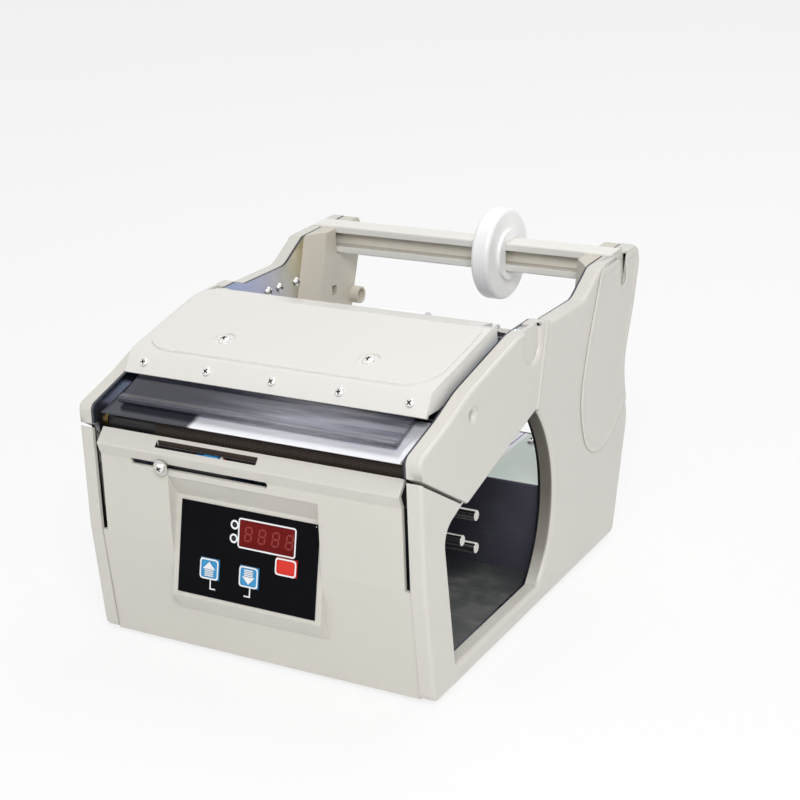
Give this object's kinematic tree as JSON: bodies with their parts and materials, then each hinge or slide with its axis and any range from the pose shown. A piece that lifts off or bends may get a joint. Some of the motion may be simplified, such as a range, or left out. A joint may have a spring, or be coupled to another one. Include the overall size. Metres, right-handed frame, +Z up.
{
  "type": "label dispenser",
  "caption": "Electric tabletop label dispenser with moulded side covers, hinged lid with clear guard, rubber drive roller, pin take-up hub, open roll towers and a sloping counter display.",
  "frame": {"origin": "on the table, under the middle of the bounding box", "axes": "+Z up, +X to the right of someone facing the display, -Y towards the front where the label comes out"},
  "size_m": [0.216, 0.2829, 0.1945],
  "materials": {
    "side_cover_plastic": "moulded satin",
    "front_plastic": "moulded satin",
    "lid_plastic": "smooth",
    "liner_plastic": "moulded",
    "plated_steel": "yellow and blue passivated zinc",
    "dark_sheet": "black semi-gloss",
    "floor_sheet": "scuffed black",
    "base_steel": "black",
    "polished_steel": "polished",
    "bright_steel": "turned",
    "roller_rubber": "knurled",
    "silicone": "smooth",
    "bar_aluminium": "cream coated",
    "nylon": "white nylon",
    "clear_plastic": "clear sheet",
    "membrane": "printed film",
    "red_filter": "red filter",
    "key_blue": "embossed film",
    "key_red": "embossed film",
    "board_green": "solder mask",
    "black_plastic": "moulded",
    "sensor_blue": "moulded",
    "brass_bush": "turned",
    "foot_rubber": "moulded",
    "belt_rubber": "moulded"
  },
  "bodies": {
    "chassis": {"left_side_cover": "side_cover_plastic", "right_side_cover": "side_cover_plastic", "left_side_plate": "plated_steel", "right_side_plate": "plated_steel", "base_tray": "base_steel", "chamber_floor": "floor_sheet", "chamber_wall": "dark_sheet", "front_partition": "dark_sheet", "rear_panel": "dark_sheet", "power_jack": "black_plastic", "switch_frame": "black_plastic", "front_panel": "front_plastic", "display_membrane": "membrane", "display_window": "red_filter", "digit_module": "black_plastic", "control_board": "board_green", "board_switches": "black_plastic", "board_posts": "front_plastic", "peel_plate": "polished_steel", "label_deck": "plated_steel", "roller_bushes": "brass_bush", "takeup_bush": "brass_bush", "drive_motor": "bright_steel", "drive_belt": "belt_rubber", "takeup_belt": "belt_rubber", "left_tower_liner": "liner_plastic", "right_tower_liner": "liner_plastic", "guide_shaft": "bright_steel", "hinge_shaft": "bright_steel", "hinge_nuts": "bright_steel", "rubber_feet": "foot_rubber", "plate_screws": "bright_steel", "nose_screws": "bright_steel"},
    "top_cover": {"top_cover": "lid_plastic", "cover_plate": "plated_steel", "clear_guard": "clear_plastic", "guard_screws": "bright_steel", "cover_screws": "bright_steel"},
    "drive_roller": {"drive_roller": "roller_rubber", "drive_shaft": "bright_steel", "drive_pulley": "nylon"},
    "press_roller": {"press_roller": "silicone", "press_shaft": "bright_steel"},
    "takeup": {"takeup_hub": "black_plastic", "takeup_pins": "bright_steel", "takeup_shaft": "bright_steel", "takeup_pulley": "nylon"},
    "motor_pulley": {"motor_pulley": "brass_bush"},
    "reel_bar": {"reel_bar": "bar_aluminium"},
    "reel_disc": {"reel_disc": "nylon"},
    "guide_collar": {"guide_collar": "nylon"},
    "sensor": {"sensor_block": "black_plastic", "sensor_head": "sensor_blue", "sensor_washer": "bright_steel"},
    "sensor_screw": {"sensor_screw": "bright_steel"},
    "key_up": {"key_up": "key_blue"},
    "key_down": {"key_down": "key_blue"},
    "key_reset": {"key_reset": "key_red"},
    "power_rocker": {"power_rocker": "black_plastic"}
  },
  "joints": [
    {"name": "cover_hinge", "type": "hinge", "parent": "chassis", "child": "top_cover", "pos_m": [0, -0.007, 0.1625], "axis": [-1, 0, 0], "range_deg": [0, 75]},
    {"name": "drive_roller_spin", "type": "hinge", "parent": "chassis", "child": "drive_roller", "pos_m": [0, -0.118, 0.1265], "axis": [1, 0, 0], "continuous": true},
    {"name": "press_roller_spin", "type": "hinge", "parent": "chassis", "child": "press_roller", "pos_m": [0, -0.118, 0.1122], "axis": [1, 0, 0], "continuous": true},
    {"name": "takeup_spin", "type": "hinge", "parent": "chassis", "child": "takeup", "pos_m": [0, -0.0605, 0.0655], "axis": [1, 0, 0], "continuous": true},
    {"name": "motor_spin", "type": "hinge", "parent": "chassis", "child": "motor_pulley", "pos_m": [0, -0.1225, 0.06], "axis": [1, 0, 0], "continuous": true},
    {"name": "reel_bar_lift", "type": "slide", "parent": "chassis", "child": "reel_bar", "axis": [0, 0, 1], "range_m": [0, 0.03]},
    {"name": "reel_disc_slide", "type": "slide", "parent": "reel_bar", "child": "reel_disc", "axis": [1, 0, 0], "range_m": [-0.1063, 0.0523]},
    {"name": "guide_collar_slide", "type": "slide", "parent": "chassis", "child": "guide_collar", "axis": [1, 0, 0], "range_m": [-0.089, 0.073]},
    {"name": "sensor_slide", "type": "slide", "parent": "chassis", "child": "sensor", "axis": [1, 0, 0], "range_m": [-0.0195, 0.0649]},
    {"name": "sensor_screw_turn", "type": "hinge", "parent": "sensor", "child": "sensor_screw", "pos_m": [-0.053, -0.133, 0.1106], "axis": [0, -1, 0], "range_deg": [0, 360]},
    {"name": "key_up_press", "type": "slide", "parent": "chassis", "child": "key_up", "axis": [0, 0.9708, -0.24], "range_m": [0, 0.0004], "stiffness_N_per_m": 400, "springref_m": -0.0005},
    {"name": "key_down_press", "type": "slide", "parent": "chassis", "child": "key_down", "axis": [0, 0.9708, -0.24], "range_m": [0, 0.0004], "stiffness_N_per_m": 400, "springref_m": -0.0005},
    {"name": "key_reset_press", "type": "slide", "parent": "chassis", "child": "key_reset", "axis": [0, 0.9708, -0.24], "range_m": [0, 0.0004], "stiffness_N_per_m": 400, "springref_m": -0.0005},
    {"name": "power_rocker_tilt", "type": "hinge", "parent": "chassis", "child": "power_rocker", "pos_m": [0.06, 0.0883, 0.03], "axis": [0, 0, -1], "range_deg": [0, 16.5]}
  ],
  "couplings": [
    {"joint": "press_roller_spin", "follows": "drive_roller_spin", "ratio": -1.3333},
    {"joint": "takeup_spin", "follows": "drive_roller_spin", "ratio": 0.53333},
    {"joint": "motor_spin", "follows": "drive_roller_spin", "ratio": 1.7778}
  ]
}
